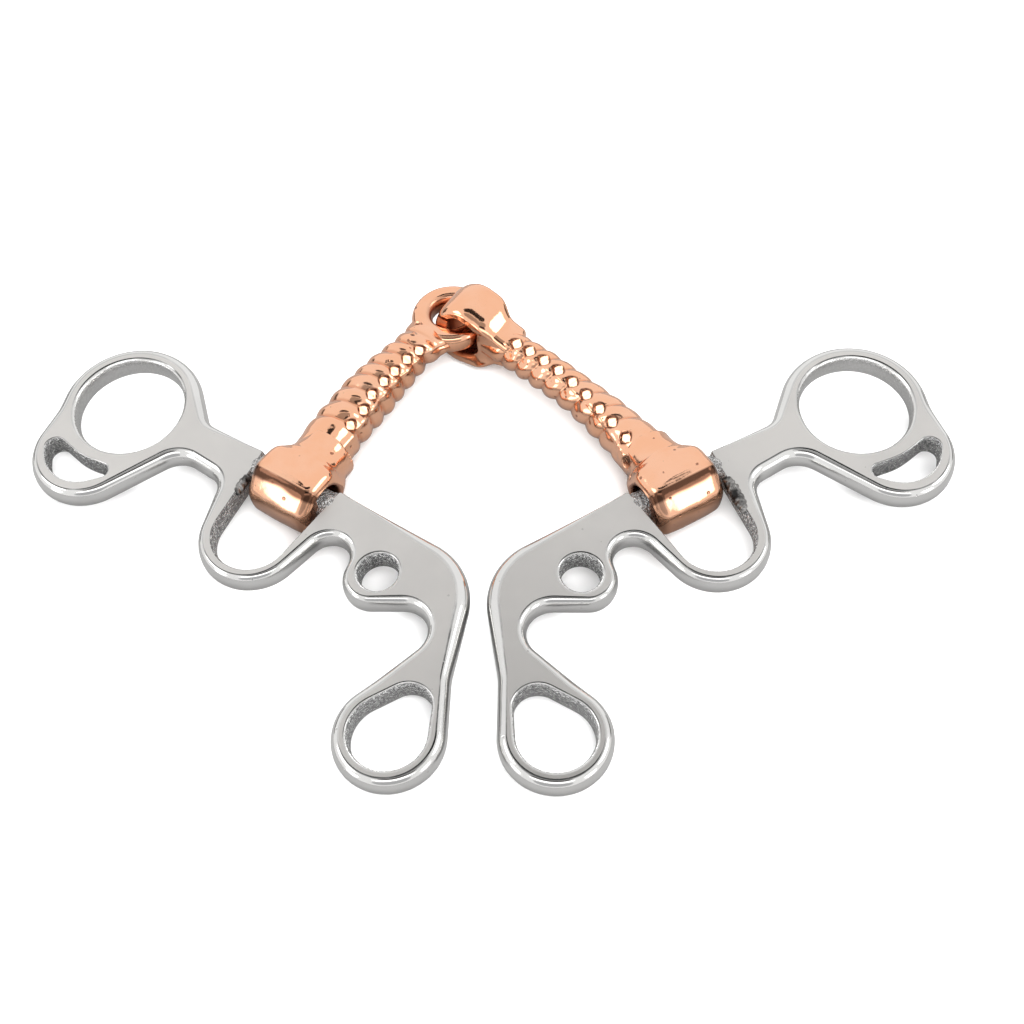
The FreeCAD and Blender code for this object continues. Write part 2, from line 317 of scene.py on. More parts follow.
def cheek_outline():
    """The cheek's edge as a chain of circles, with the butt's gap let in between two corners."""
    rim_in = 2.3
    return [
        (22.4, -8.3, 4.8, -1, 2.0),
        (RING_C[0], RING_C[1], RING_R, 1, rim_in),
        (71.3, 13.9, 14.7, -1, rim_in),
        (43.8, 16.4, 12.3, 1, 1.9),
        (21.2, 12.5, 5.9, -1, rim_in),
        (15.9, 11.3, 4.4, -1, rim_in),
        (-2.2, 14.8, 11.8, 1, 1.7),
        (-19.7, 10.9, 4.5, -1, 1.8),
        (-30.8, 10.1, 6.5, 1, 1.6),
        (-42.8, 17.4, 5.8, -1, 1.9),
        (-30.4, 24.0, 15.5, -1, rim_in),
        (-54.4, 37.5, 11.7, 1, 2.1),
        (-70.9, 14.3, 14.4, -1, 1.9),
        (-37.9, 12.0, 15.5, 1, 2.7),
        (-13.4, -2.5, 1.0, 1, 0.5),
        (-2.5, 14.8, 8.4, -1, 0.6),
        (8.7, -2.5, 1.0, 1, 0.5),
    ]


def along(circles, hole_inset):
    """Chain of holes' circles given as (u, v, radius, sign), each with the same rim inset."""
    return chain([(u, v, r, sign, hole_inset) for u, v, r, sign in circles], 0.35)


def round_loop(centre, radius, inset, count):
    """Circular loop: centre + radius (cos a, sin a), a running once round."""
    a = np.linspace(0.0, 2.0 * np.pi, count, endpoint=False)
    normal = np.stack([np.cos(a), np.sin(a)], -1)
    return np.array(centre) + radius * normal, normal, np.full(count, inset)


def blurred(values, points, width):
    """Values round a closed path averaged over a length of about width, weighted by the spacing."""
    gap = np.linalg.norm(points - np.roll(points, 1, 0), axis=1)
    at = np.cumsum(gap)
    total = at[-1]
    away = np.abs(at[:, None] - at[None, :])
    away = np.minimum(away, total - away)
    weight = np.exp(-(away / width) ** 2) * (gap + np.roll(gap, -1))[None, :]
    return (weight @ values) / weight.sum(1)


def cheek_shells():
    """Plate with its holes, and the post across the gap."""
    points, normals, insets = chain(cheek_outline())
    in_gap = (insets < 0.75).astype(float)
    gap = blurred(in_gap, points, 0.8)
    insets = np.where(in_gap > 0.5, insets, np.minimum(blurred(insets, points, 3.0), insets + 0.8))
    insets = blurred(insets, points, 0.8)
    slot = [(49.9, 19.2, 2.2, 1), (44.0, 16.0, 8.8, 1), (36.9, 18.9, 1.6, 1), (43.0, 2.5, 15.5, -1)]
    holes = [
        (round_loop(RING_C, RING_BORE, 1.15, 150), 2.6, 0.15),
        (round_loop(SNAFFLE_C, SNAFFLE_BORE, 1.0, 70), 1.5, 1.0),
        (along(slot, 0.5), 0.8, 0.9),
        (along([(-54.6, 31.0, 4.9, 1), (-54.4, 37.5, 8.0, 1)], 0.85), 1.3, 0.8),
    ]
    body = plate((points, normals, insets), holes, PLATE, 2.75, gap)
    u, r = np.array(POST_PROFILE).T
    fine = np.linspace(u[0], u[-1], 90)
    radius = np.interp(fine, u, r)
    a = np.linspace(0.0, 2.0 * np.pi, 72, endpoint=False)
    place = np.stack([
        np.repeat(fine[:, None], 72, 1),
        radius[:, None] * np.cos(a)[None],
        radius[:, None] * np.sin(a)[None],
    ], -1)
    place += waves(place, 4.0, 3)[..., None] * 0.05
    post = tube(place, {"wall": np.ones(place.shape[:2])})
    return [body, post]


def lay_cheek(shell, side):
    """Left cheek's own frame to the world; side 1 mirrors it to the right."""
    matrix = turn_z(180.0 - CHEEK_TURN) @ turn_x(-CHEEK_TILT)
    offset = np.array([-POST_SPREAD / 2.0, POST_BACK, POST_HEIGHT])
    if side > 0:
        flip = np.diag([-1.0, 1.0, 1.0])
        return shell.placed(flip @ matrix, flip @ offset)
    return shell.placed(matrix, offset)


def bead_shell(seed, first, last, centre_u, size):
    """Lumpy weld: a tube along v on the gap's rim, its radius swelling once per lump."""
    v = np.linspace(first, last, 60)
    a = np.linspace(0.0, 2.0 * np.pi, 40, endpoint=False)
    share = (v - first) / (last - first)
    swell = size * np.sqrt(np.clip(1.0 - (2.0 * share - 1.0) ** 4, 0.02, 1.0))
    swell = swell * (0.86 + 0.14 * np.abs(np.sin(np.pi * (v - first) / 1.35)))
    u = centre_u[0] + (centre_u[1] - centre_u[0]) * share ** 1.6
    place = np.stack([
        u[:, None] + swell[:, None] * np.cos(a)[None],
        np.repeat(v[:, None], 40, 1),
        2.2 + swell[:, None] * np.sin(a)[None],
    ], -1)
    rough = waves(place, 0.9, seed, 16) * 0.16 + waves(place, 2.2, seed + 1) * 0.14
    none = np.zeros((len(v), len(a)))
    out = np.stack([np.cos(a)[None] + none, none, np.sin(a)[None] + none], -1)
    return tube(place + out * rough[..., None])


# ---- cannons ---------------------------------------------------------------------------------
BUTT_HALF = 8.25
BUTT_ROUND = 2.5
BUTT_CROWN = 0.055
BUTT_BORE = 4.7
BUTT_R = 7.8
FACET_SHARP = 13.0
MOUTH = 0.55
SHOULDER_BLEND = 1.5
SEAM_AT, SEAM_WIDE, SEAM_HIGH = 5.9, 0.45, 0.17
EYE_R, EYE_WIDE, EYE_HIGH = 6.68, 2.38, 2.6
LINK_WIDTH, LINK_DROP = 8.2, 2.6
RIB_PITCH = 4.75
POCKET_LONG, POCKET_WIDE, POCKET_DEEP = 1.52, 1.50, 0.72
RIDGE_WIDE, RIDGE_HIGH = 0.22, 0.16
DENT_DEEP = 0.22


class Cannon:
    """What differs between the two cannons. Lists run from the butt to the joint."""

    def __init__(self, length, bow, lean, radii, ends, turns, pockets, aim, slant,
                 part_line, bar_end, crest, flat):
        self.length = length
        self.bow = bow
        self.lean = lean
        self.radii = radii            # (places along the chord, radii over the ribs)
        self.ends = ends              # first and last place of the ribs
        self.turns = turns            # turns of the groove round the bar per pitch, with its hand
        self.pockets = pockets        # (place, angle) of each pocket
        self.aim = aim                # angle that the pockets' flat floors face
        self.slant = slant            # hand of the side of the parting line that the dents lie on
        self.part_line = part_line    # (places, angles) of the parting line
        self.bar_end = bar_end
        self.crest = crest            # power of the rib's profile: above 1 makes narrow crests
        self.flat = flat              # (places, width over radius, height over radius)


def centre_line(at, length, bow):
    """Bowed centre line y = 4 bow t (1 - t), t = at / length, with its unit tangent."""
    t = at / length
    y = 4.0 * bow * t * (1.0 - t)
    slope = 4.0 * bow / length * (1.0 - 2.0 * t)
    size = np.sqrt(1.0 + slope * slope)
    return np.stack([at, y, 0.0 * at], -1), np.stack([1.0 / size, slope / size, 0.0 * at], -1)


def bar_radius(s, phi, c):
    """Radius over the place s and the angle phi: taper, less the helical grooves, less the pockets,
    plus the fine parting ridge. Also gives the groove and pocket masks, and the pocket edge mask,
    which carries painted shade round each pocket's rim."""
    crest = np.interp(s, *c.radii)
    places = np.array([p[0] for p in c.pockets])
    angles = np.radians([p[1] for p in c.pockets])
    number = np.arange(len(places), dtype=float)
    first = places[0] - RIB_PITCH * np.arange(4, 0, -1)
    last = places[-1] + RIB_PITCH * np.arange(1, 5)
    at = np.concatenate([first, places, last])
    index = np.arange(len(at)) - 4.0
    angle_here = np.interp(s, places, angles)
    phase = np.interp(s, at, index) + c.turns * (phi - angle_here) / (2.0 * np.pi)
    scallop = np.sqrt(np.sin(np.pi * phase) ** 2 + 0.0035)
    scallop = np.minimum(scallop, 1.0) ** c.crest
    ribbed = smooth(c.ends[0] - 1.5, c.ends[0] + 2.5, s)
    ribbed = ribbed * (1.0 - smooth(c.ends[1] - 2.0, c.ends[1] + 1.5, s))
    top = 0.5 + 0.5 * np.cos(phi - np.pi / 2.0)
    depth = (0.95 - 0.30 * top) * ribbed
    radius = crest - depth * (1.0 - scallop)
    groove = ribbed * (1.0 - smooth(0.0, 0.42, scallop))
    part = np.radians(np.interp(s, *c.part_line))
    off = np.angle(np.exp(1j * (phi - part))) * crest
    radius = radius + RIDGE_HIGH * np.exp(-(off / RIDGE_WIDE) ** 2)
    pocket_mask = np.zeros_like(radius)
    edge_mask = np.zeros_like(radius)
    for k in range(len(places)):
        ds = s - places[k] - 0.10 * (off > 0)
        turn = np.angle(np.exp(1j * (phi - angles[k])))
        wide = turn * crest
        shape = (np.abs(ds) / POCKET_LONG) ** 1.4 + (np.abs(wide) / POCKET_WIDE) ** 1.4
        mask = 1.0 - smooth(0.86, 1.06, shape)
        lean = math.radians(c.aim)
        away = np.angle(np.exp(1j * (phi - lean)))
        middle = np.interp(places[k], *c.radii) - POCKET_DEEP
        cut = middle * math.cos(angles[k] - lean) / np.maximum(np.cos(away), 0.3)
        radius = radius + mask * (cut - radius)
        pocket_mask = np.maximum(pocket_mask, mask)
        # Ring round each pocket's rim, for painted shade there
        around = smooth(0.66, 0.86, shape) * (1.0 - smooth(1.15, 1.50, shape))
        edge_mask = np.maximum(edge_mask, around)
        below = np.angle(np.exp(1j * (phi - part - c.slant * 0.45))) * crest
        dent = np.exp(-(ds / 1.0) ** 2 - (below / 0.9) ** 2)
        radius = radius - DENT_DEEP * dent
    return radius, np.clip(groove, 0, 1), pocket_mask, edge_mask


def bar_shell(c):
    """Rings square to the bowed centre line, each point bar_radius away from it."""
    plain = np.linspace(8.0, c.ends[0], 40)[:-1]
    s = np.concatenate([plain, np.linspace(c.ends[0], c.bar_end, 290)])
    phi = np.linspace(0.0, 2.0 * np.pi, 132, endpoint=False)
    grid_s, grid_phi = np.meshgrid(s, phi, indexing="ij")
    radius, groove, pocket, edge = bar_radius(grid_s, grid_phi, c)
    middle, ahead = centre_line(s, c.length, c.bow)
    across = np.stack([-ahead[:, 1], ahead[:, 0], 0.0 * s], -1)
    up = np.array([0.0, 0.0, 1.0])
    out = across[:, None] * np.cos(phi)[None, :, None] + up * np.sin(phi)[None, :, None]
    wide = np.interp(s, c.flat[0], c.flat[1])[:, None, None] * np.cos(phi)[None, :, None]
    high = np.interp(s, c.flat[0], c.flat[2])[:, None, None] * np.sin(phi)[None, :, None]
    place = middle[:, None] + (across[:, None] * wide + up * high) * radius[..., None]
    uneven = waves(place, 5.0, 11) * 0.07 + waves(place, 2.4, 12) * 0.025
    place = place + out * (uneven * (1.0 - pocket))[..., None]
    return tube(place, {"groove": groove, "pocket": pocket, "edge": edge})


def facet_radius(psi, facets, sharp):
    """Distance from the axis to a soft-cornered polygon:
    (sum over facets of max(0, cos(psi - a) / d)^p)^(-1/p), with p how sharp its corners are."""
    total = np.zeros_like(psi)
    for angle, distance in facets:
        total = total + np.maximum(np.cos(psi - math.radians(angle)) / distance, 0.0) ** sharp
    return total ** (-1.0 / sharp)


def butt_distance(x, y, z, shoulder, facets):
    """Below 0 inside the butt: the soft union of the faceted barrel and the shoulder's cone."""
    psi = np.arctan2(z, x)
    reach = np.hypot(x, z)
    crown = 1.0 - BUTT_CROWN * (y / BUTT_HALF) ** 2
    barrel = reach / (facet_radius(psi, facets, FACET_SHARP) * crown) * BUTT_R - BUTT_R
    over_side = barrel + BUTT_ROUND
    over_end = np.abs(y) - BUTT_HALF + BUTT_ROUND
    barrel = np.minimum(np.maximum(over_side, over_end), 0.0)
    barrel = barrel + np.hypot(np.maximum(over_side, 0.0), np.maximum(over_end, 0.0)) - BUTT_ROUND
    ends, wides, highs = shoulder
    at = np.clip(x, ends[0], ends[-1])
    wide = np.polyval(np.polyfit(ends, wides, 4), at)
    high = np.polyval(np.polyfit(ends, highs, 4), at)
    power = np.interp(x, [2.0, 10.0], [2.6, 2.05])
    cone = (np.abs(y / wide) ** power + np.abs(z / high) ** power) ** (1.0 / power)
    cone = (cone - 1.0) * high - SEAM_HIGH * np.exp(-((x - SEAM_AT) / SEAM_WIDE) ** 2)
    cone = np.maximum(cone, x - ends[-1])
    cone = np.maximum(cone, -x - 1.0)
    return soft_min(barrel, cone, SHOULDER_BLEND)


def butt_shell(shoulder, facets, seed):
    """Butt about its bore: outer radius R(psi, y) found by halving where butt_distance is 0,
    then the flat ring at each end and the bore with rounded mouths."""
    near = np.radians(np.linspace(-40.0, 40.0, 161))[:-1]
    rest = np.radians(np.linspace(40.0, 320.0, 220, endpoint=False))
    psi = np.concatenate([near, rest])
    bend = np.linspace(-1.0, 1.0, 64)
    y = BUTT_HALF * np.sign(bend) * (1.0 - (1.0 - np.abs(bend)) ** 1.45)
    grid_psi, grid_y = np.meshgrid(psi, y, indexing="xy")
    low = np.full(grid_psi.shape, 3.0)
    high = np.full(grid_psi.shape, 22.0)
    for _ in range(26):
        middle = (low + high) / 2.0
        x, z = middle * np.cos(grid_psi), middle * np.sin(grid_psi)
        inside = butt_distance(x, grid_y, z, shoulder, facets) < 0.0
        low = np.where(inside, middle, low)
        high = np.where(inside, high, middle)
    outer = low
    angle = np.linspace(0.0, np.pi / 2.0, 6)
    ring_r, ring_y = [], []
    for share in (0.9, 0.6, 0.3):
        ring_r.append(outer[-1] * share + (BUTT_BORE + MOUTH) * (1.0 - share))
        ring_y.append(np.full(len(psi), BUTT_HALF))
    for a in angle:
        ring_r.append(np.full(len(psi), BUTT_BORE + MOUTH - MOUTH * math.sin(a)))
        ring_y.append(np.full(len(psi), BUTT_HALF - MOUTH + MOUTH * math.cos(a)))
    inner_y = np.linspace(BUTT_HALF - MOUTH, -BUTT_HALF + MOUTH, 14)[1:-1]
    bore = [(np.full(len(psi), BUTT_BORE), np.full(len(psi), v)) for v in inner_y]
    rows_r = [outer, np.array(ring_r), np.array([b[0] for b in bore])]
    rows_y = [grid_y, np.array(ring_y), np.array([b[1] for b in bore])]
    back_r, back_y = np.array(ring_r)[::-1].copy(), -np.array(ring_y)[::-1]
    for k, share in enumerate((0.3, 0.6, 0.9)):
        back_r[-3 + k] = outer[0] * share + (BUTT_BORE + MOUTH) * (1.0 - share)
    rows_r.append(back_r)
    rows_y.append(back_y)
    radius, level = np.vstack(rows_r), np.vstack(rows_y)
    angle_all = np.repeat(psi[None], len(radius), 0)
    place = np.stack([radius * np.cos(angle_all), level, radius * np.sin(angle_all)], -1)
    skin = np.zeros(radius.shape)
    skin[:len(outer)] = 1.0
    out = np.stack([np.cos(angle_all), 0.0 * level, np.sin(angle_all)], -1)
    place = place + out * (skin * waves(place, 6.0, seed) * 0.10)[..., None]
    turn = np.degrees(angle_all) % 360.0
    patchy = 0.55 + 0.45 * waves(place * np.array([1.0, 0.5, 1.0]), 5.0, seed + 7)
    wavy = turn + 4.0 * waves(place, 6.0, seed + 3)
    # Dark band under the upper ridge of the front: partly real tarnish, partly painted dark reflection
    band = smooth(111.0, 114.0, turn) * (1.0 - smooth(125.0, 133.0, wavy))
    # Painted shade on the lower faces, patchy
    under = smooth(160.0, 168.0, turn) * (1.0 - smooth(230.0, 300.0, turn))
    under = under * np.clip(patchy, 0.0, 1.0) * 0.7
    # The band's darkening carried round near the ends, likewise part tarnish and part painted dark
    # reflection
    side = smooth(5.6, 8.0, np.abs(level)) * smooth(100.0, 112.0, turn)
    side = side * (1.0 - smooth(160.0, 200.0, turn)) * 0.6
    tarnish = skin * np.clip(band + 0.6 * under + 0.8 * side, 0.0, 1.0)
    return hoop(place, {"bore": 1.0 - skin, "tarnish": tarnish})


def eye_shell(c):
    """Round eye: a soft oval section (superellipse of power 2.5) carried round the hole."""
    a = np.linspace(0.0, 2.0 * np.pi, 128, endpoint=False)
    b = np.linspace(0.0, 2.0 * np.pi, 48, endpoint=False)
    power = 2.0 / 2.5
    dr = EYE_WIDE * np.sign(np.cos(b)) * np.abs(np.cos(b)) ** power
    dz = EYE_HIGH * np.sign(np.sin(b)) * np.abs(np.sin(b)) ** power
    radius = EYE_R + dr[None, :] + 0.0 * a[:, None]
    place = np.stack([
        c.length + radius * np.cos(a)[:, None],
        radius * np.sin(a)[:, None],
        dz[None, :] + 0.0 * a[:, None],
    ], -1)
    place[..., 2] += waves(place, 5.0, 21) * 0.06
    inside = smooth(0.25, 0.85, -np.cos(b))[None, :] + 0.0 * a[:, None]
    return hoop(place, {"bore": inside})


def link_shell(c):
    """Upright band link: a flat casting stood on its edge and turned to the bar's end tangent."""
    outline = chain([
        (5.0, 0.0, 7.45, 1, 1.5),
        (8.6, -0.6, 6.5, 1, 1.5),
        (15.4, -6.6, 2.3, -1, 1.4),
        (17.2, -2.0, 1.8, 1, 1.4),
        (17.2, 2.0, 1.8, 1, 1.4),
        (15.5, 7.1, 2.3, -1, 1.4),
        (8.6, 1.0, 6.7, 1, 1.4),
        (5.4, 1.1, 7.35, 1, 1.35),
    ], 0.4)
    hole = [(4.9, -1.3, 2.9, 1), (6.9, -1.1, 2.7, 1), (6.7, 2.6, 2.7, 1), (4.9, 2.8, 2.9, 1)]
    body = plate(outline, [(along(hole, 0.65), 1.6, 1.0)], LINK_WIDTH, LINK_DROP)
    body.masks = {"bore": body.masks["wall"]}
    ahead, above, _ = body.points.T
    spread = 0.32 * smooth(2.9, 5.6, np.abs(above)) * (1.0 - smooth(10.0, 16.0, ahead))
    lean = 0.27 * np.maximum(above - 1.0, 0.0) * (1.0 - smooth(9.0, 16.0, ahead))
    body.points[:, 2] = body.points[:, 2] * (1.0 + spread) - lean
    heading = math.degrees(math.atan(-4.0 * c.bow / c.length))
    upright = body.placed(turn_x(90.0), np.zeros(3))
    return upright.placed(turn_z(180.0 + heading), np.array([c.length, 0.0, 0.0]))


LEFT = Cannon(
    LEFT_LENGTH, 2.3, 0.0,
    ([0.0, 12.0, 16.0, 30.0, 35.0, 40.0, 45.0, 50.0, 53.0],
     [5.9, 5.9, 6.2, 6.2, 5.8, 5.4, 4.9, 4.4, 4.2]),
    (15.5, 49.0), -1.0,
    [(17.9, 132), (23.0, 133), (27.3, 124), (32.0, 124), (36.0, 126), (40.6, 127), (44.7, 133)],
    128.0, 1.0, ([15.0, 30.0, 45.0], [150.0, 143.0, 150.0]), 53.0,
    1.15,
    ([0.0, 45.0, 49.0, 51.5, 53.0], [1.0, 1.0, 1.22, 1.42, 1.38], [1.0, 1.0, 0.82, 0.64, 0.50]))
RIGHT = Cannon(
    71.1915, -4.2, -13.9028,
    ([0.0, 12.0, 17.0, 25.0, 33.0, 48.0, 55.0, 60.0], [5.8, 5.8, 5.5, 5.1, 4.6, 4.5, 4.3, 3.9]),
    (16.5, 56.0), 2.0,
    [(14.5, 60), (20.0, 64), (24.7, 68), (29.8, 76), (34.7, 81), (39.4, 85), (43.8, 85),
     (48.1, 85), (51.9, 84)],
    57.0, -1.0,
    ([10.0, 16.0, 22.0, 33.0, 41.0, 51.0, 58.0], [25.0, 38.0, 47.0, 62.0, 66.0, 64.0, 60.0]), 60.0,
    0.75, ([0.0, 60.0], [1.0, 1.0], [1.0, 1.0]))


def lay_cannon(shell, start, heading):
    """Bar frame to the world: a turn in plan and a move to the post's axis."""
    return shell.placed(turn_z(heading), start)


def butt_laid(shell, lean, start, heading):
    """Butt frame, its bore along Y, turned by the lean and then as the bar is."""
    return shell.placed(turn_z(heading) @ turn_z(lean), start)


# ---- shader groups -----------------------------------------------------------------------------
def new_group(name, inputs, outputs):
    """Shader group with float and vector sockets; gives its tree and its two end nodes."""
    tree = bpy.data.node_groups.new(name, "ShaderNodeTree")
    for label, kind, value in inputs:
        socket = tree.interface.new_socket(name=label, in_out="INPUT", socket_type=kind)
        if value is not None:
            socket.default_value = value
    for label, kind in outputs:
        tree.interface.new_socket(name=label, in_out="OUTPUT", socket_type=kind)
    return tree, tree.nodes.new("NodeGroupInput"), tree.nodes.new("NodeGroupOutput")


def put(tree, kind, settings=None, **sockets):
    """A node with its settings, and its sockets set or linked. Spaces in names are written _."""
    node = tree.nodes.new(kind)
    for key, value in (settings or {}).items():
        setattr(node, key, value)
    for key, value in sockets.items():
        numbered = key[0] == "i" and key[1:].isdigit()
        socket = node.inputs[int(key[1:]) if numbered else key.replace("_", " ")]
        if isinstance(value, bpy.types.NodeSocket):
            tree.links.new(value, socket)
        else:
            socket.default_value = value
    return node


def maths(tree, operation, a, b=0.0):
    """One Math node's result."""
    return put(tree, "ShaderNodeMath", {"operation": operation}, i0=a, i1=b).outputs[0]


def ranged(tree, value, low, high, to_low=0.0, to_high=1.0):
    """Map Range of a value, smoothly."""
    node = put(tree, "ShaderNodeMapRange", {"interpolation_type": "SMOOTHSTEP"},
               Value=value, From_Min=low, From_Max=high, To_Min=to_low, To_Max=to_high)
    return node.outputs[0]


def grain_group():
    """Fine grain: noise stretched by a vector, from 0 to 1."""
    tree, start, end = new_group(
        "fine_grain",
        [("Vector", "NodeSocketVector", None), ("Stretch", "NodeSocketVector", (1, 1, 1)),
         ("Scale", "NodeSocketFloat", 900.0), ("Detail", "NodeSocketFloat", 4.0)],
        [("Value", "NodeSocketFloat")])
    stretched = put(tree, "ShaderNodeVectorMath", {"operation": "MULTIPLY"},
                    i0=start.outputs["Vector"], i1=start.outputs["Stretch"])
    noise = put(tree, "ShaderNodeTexNoise", None, Vector=stretched.outputs[0],
                Scale=start.outputs["Scale"], Detail=start.outputs["Detail"], Roughness=0.6)
    tree.links.new(noise.outputs[0], end.inputs["Value"])
    return tree


def pinhole_group():
    """Scattered pinholes: small discs at some of a cell pattern's points, 1 in a hole."""
    tree, start, end = new_group(
        "pinholes",
        [("Vector", "NodeSocketVector", None), ("Scale", "NodeSocketFloat", 300.0),
         ("Size", "NodeSocketFloat", 0.12), ("Share", "NodeSocketFloat", 0.2)],
        [("Mask", "NodeSocketFloat")])
    cells = put(tree, "ShaderNodeTexVoronoi", None,
                Vector=start.outputs["Vector"], Scale=start.outputs["Scale"])
    pick = put(tree, "ShaderNodeSeparateColor", None, Color=cells.outputs["Color"])
    chosen = maths(tree, "LESS_THAN", pick.outputs[0], start.outputs["Share"])
    size = maths(tree, "MULTIPLY", start.outputs["Size"], maths(tree, "ADD", pick.outputs[1], 0.35))
    near = maths(tree, "DIVIDE", cells.outputs["Distance"], size)
    disc = ranged(tree, near, 0.6, 1.1, 1.0, 0.0)
    tree.links.new(maths(tree, "MULTIPLY", disc, chosen), end.inputs["Mask"])
    return tree


def cloud_group():
    """Slow variation: soft noise pushed to fill 0 to 1, for stains and uneven polish."""
    tree, start, end = new_group(
        "slow_cloud",
        [("Vector", "NodeSocketVector", None), ("Scale", "NodeSocketFloat", 90.0),
         ("Low", "NodeSocketFloat", 0.35), ("High", "NodeSocketFloat", 0.65)],
        [("Value", "NodeSocketFloat")])
    noise = put(tree, "ShaderNodeTexNoise", None, Vector=start.outputs["Vector"],
                Scale=start.outputs["Scale"], Detail=3.0, Roughness=0.55)
    value = ranged(tree, noise.outputs[0], start.outputs["Low"], start.outputs["High"])
    tree.links.new(value, end.inputs["Value"])
    return tree


def new_material(name):
    """Material with an emptied tree, its Principled shader and its Object coordinates."""
    material = bpy.data.materials.new(name)
    material.use_nodes = True
    tree = material.node_tree
    tree.nodes.clear()
    shader = tree.nodes.new("ShaderNodeBsdfPrincipled")
    output = tree.nodes.new("ShaderNodeOutputMaterial")
    tree.links.new(shader.outputs[0], output.inputs[0])
    place = tree.nodes.new("ShaderNodeTexCoord").outputs["Object"]
    return material, tree, shader, place


def mixed(tree, factor, a, b):
    """Mix of two colours by a factor."""
    node = tree.nodes.new("ShaderNodeMix")
    node.data_type = "RGBA"
    for socket, value in ((node.inputs[0], factor), (node.inputs[6], a), (node.inputs[7], b)):
        if isinstance(value, bpy.types.NodeSocket):
            tree.links.new(value, socket)
        elif socket == node.inputs[0]:
            socket.default_value = value
        else:
            socket.default_value = (*value, 1.0)
    return node.outputs[2]


def mask_of(tree, name):
    """A mesh's own mask by name."""
    return put(tree, "ShaderNodeAttribute", {"attribute_name": name}).outputs["Fac"]


def bumped(tree, shader, layers):
    """Chain of Bump nodes: (height, strength, distance) each, feeding the shader's Normal."""
    normal = None
    for height, strength, distance in layers:
        node = put(tree, "ShaderNodeBump", None,
                   Height=height, Strength=strength, Distance=distance)
        if normal is not None:
            tree.links.new(normal, node.inputs["Normal"])
        normal = node.outputs[0]
    tree.links.new(normal, shader.inputs["Normal"])


GRAIN = grain_group()
PINHOLES = pinhole_group()
CLOUD = cloud_group()


def group(tree, which, **sockets):
    """One of the shared groups placed in a material."""
    return put(tree, "ShaderNodeGroup", {"node_tree": which}, **sockets).outputs[0]


def cast_steel(name):
    """Cheek: satin flats, mirror-polished rims and rougher cast hole walls, with a painted dark
    reflection line along the rims just over the flats.
    """
    material, tree, shader, place = new_material(name)
    face, wall, crease = mask_of(tree, "face"), mask_of(tree, "wall"), mask_of(tree, "crease")
    fine = group(tree, GRAIN, Vector=place, Scale=3800.0, Detail=3.0)
    cast = group(tree, GRAIN, Vector=place, Scale=1900.0, Detail=4.0)
    slow = group(tree, CLOUD, Vector=place, Scale=70.0)
    pits = group(tree, PINHOLES, Vector=place, Scale=480.0, Size=0.12, Share=0.22)
    colour = mixed(tree, face, (0.78, 0.775, 0.76), (0.70, 0.68, 0.655))
    speckle = mixed(tree, ranged(tree, cast, 0.40, 0.62), (0.30, 0.30, 0.30), (0.98, 0.98, 0.97))
    colour = mixed(tree, wall, colour, speckle)
    colour = mixed(tree, maths(tree, "MULTIPLY", slow, 0.22), colour, (0.56, 0.55, 0.54))
    colour = mixed(tree, maths(tree, "MULTIPLY", pits, 0.35), colour, (0.30, 0.29, 0.28))
    # Painted dark reflection line along the rims just over the flats, patchy along its length
    patchy = group(tree, CLOUD, Vector=place, Scale=130.0, Low=0.25, High=0.55)
    line = maths(tree, "MULTIPLY", crease, ranged(tree, patchy, 0.0, 1.0, 0.4, 0.95))
    colour = mixed(tree, line, colour, (0.10, 0.10, 0.10))
    tree.links.new(colour, shader.inputs["Base Color"])
    rough = ranged(tree, face, 0.0, 1.0, 0.09, 0.30)
    rough = maths(tree, "ADD", rough, maths(tree, "MULTIPLY", wall, 0.12))
    rough = maths(tree, "ADD", rough, maths(tree, "MULTIPLY", slow, 0.05))
    tree.links.new(rough, shader.inputs["Roughness"])
    shader.inputs["Metallic"].default_value = 1.0
    cast_height = maths(tree, "MULTIPLY", cast, wall)
    bumped(tree, shader, [
        (slow, 0.10, 0.0002),
        (cast_height, 1.0, 0.0009),
        (maths(tree, "MULTIPLY", fine, face), 0.12, 0.00005),
        (maths(tree, "MULTIPLY", pits, -1.0), 0.4, 0.00008),
    ])
    return material


def weld_metal(name):
    """Weld: dark, rough and lumpy, with a few bright rubbed spots."""
    material, tree, shader, place = new_material(name)
    lumps = group(tree, GRAIN, Vector=place, Scale=900.0, Detail=5.0)
    slow = group(tree, CLOUD, Vector=place, Scale=500.0)
    colour = mixed(tree, slow, (0.035, 0.034, 0.033), (0.34, 0.33, 0.32))
    tree.links.new(colour, shader.inputs["Base Color"])
    tree.links.new(ranged(tree, slow, 0.0, 1.0, 0.5, 0.25), shader.inputs["Roughness"])
    shader.inputs["Metallic"].default_value = 1.0
    bumped(tree, shader, [(lumps, 0.8, 0.0004)])
    return material


